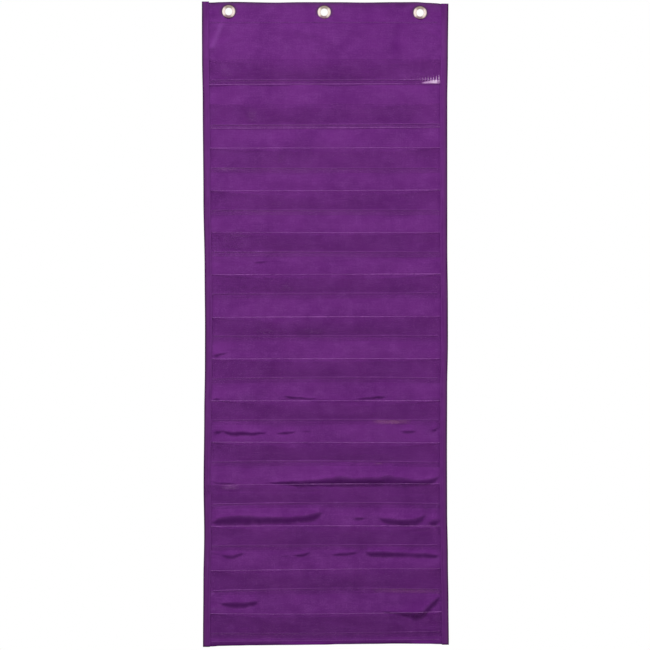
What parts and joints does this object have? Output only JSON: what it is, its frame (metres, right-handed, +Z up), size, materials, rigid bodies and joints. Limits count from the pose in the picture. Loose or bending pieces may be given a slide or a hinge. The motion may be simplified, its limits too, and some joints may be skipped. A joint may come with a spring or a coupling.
{
  "type": "hanging pocket chart",
  "caption": "Tall hanging fabric chart with clear card pockets sewn across its front, bound sides, and metal grommets along the top hem.",
  "frame": {"origin": "centre of the middle grommet's hole, on the wall plane that the backs of the grommets touch", "axes": "+Z up the chart, +X to the right as one faces it, +Y into the wall; the front faces -Y"},
  "size_m": [0.33, 0.0098, 0.8672],
  "materials": {
    "cloth": "matt purple woven nylon",
    "binding_tape": "matt purple woven tape",
    "clear_vinyl": "clear, thin, glossy sheet",
    "brass": "pale polished brass plate",
    "thread": "purple sewing thread"
  },
  "bodies": {
    "root": {"backing_cloth": "cloth", "pocket_front_01": "clear_vinyl", "pocket_front_02": "clear_vinyl", "pocket_front_03": "clear_vinyl", "pocket_front_04": "clear_vinyl", "pocket_front_05": "clear_vinyl", "pocket_front_06": "clear_vinyl", "pocket_front_07": "clear_vinyl", "pocket_front_08": "clear_vinyl", "pocket_front_09": "clear_vinyl", "pocket_front_10": "clear_vinyl", "pocket_front_11": "clear_vinyl", "pocket_front_12": "clear_vinyl", "pocket_front_13": "clear_vinyl", "pocket_front_14": "clear_vinyl", "pocket_seam_01_needle_thread": "thread", "pocket_seam_01_bobbin_thread": "thread", "pocket_seam_02_needle_thread": "thread", "pocket_seam_02_bobbin_thread": "thread", "pocket_seam_03_needle_thread": "thread", "pocket_seam_03_bobbin_thread": "thread", "pocket_seam_04_needle_thread": "thread", "pocket_seam_04_bobbin_thread": "thread", "pocket_seam_05_needle_thread": "thread", "pocket_seam_05_bobbin_thread": "thread", "pocket_seam_06_needle_thread": "thread", "pocket_seam_06_bobbin_thread": "thread", "pocket_seam_07_needle_thread": "thread", "pocket_seam_07_bobbin_thread": "thread", "pocket_seam_08_needle_thread": "thread", "pocket_seam_08_bobbin_thread": "thread", "pocket_seam_09_needle_thread": "thread", "pocket_seam_09_bobbin_thread": "thread", "pocket_seam_10_needle_thread": "thread", "pocket_seam_10_bobbin_thread": "thread", "pocket_seam_11_needle_thread": "thread", "pocket_seam_11_bobbin_thread": "thread", "pocket_seam_12_needle_thread": "thread", "pocket_seam_12_bobbin_thread": "thread", "pocket_seam_13_needle_thread": "thread", "pocket_seam_13_bobbin_thread": "thread", "pocket_seam_14_needle_thread": "thread", "pocket_seam_14_bobbin_thread": "thread", "top_hem_seam_needle_thread": "thread", "top_hem_seam_bobbin_thread": "thread", "bottom_hem_seam_needle_thread": "thread", "bottom_hem_seam_bobbin_thread": "thread", "left_binding": "binding_tape", "left_binding_needle_thread": "thread", "left_binding_bobbin_thread": "thread", "right_binding": "binding_tape", "right_binding_needle_thread": "thread", "right_binding_bobbin_thread": "thread", "left_grommet_eyelet": "brass", "left_grommet_washer": "brass", "centre_grommet_eyelet": "brass", "centre_grommet_washer": "brass", "right_grommet_eyelet": "brass", "right_grommet_washer": "brass"}
  },
  "joints": []
}
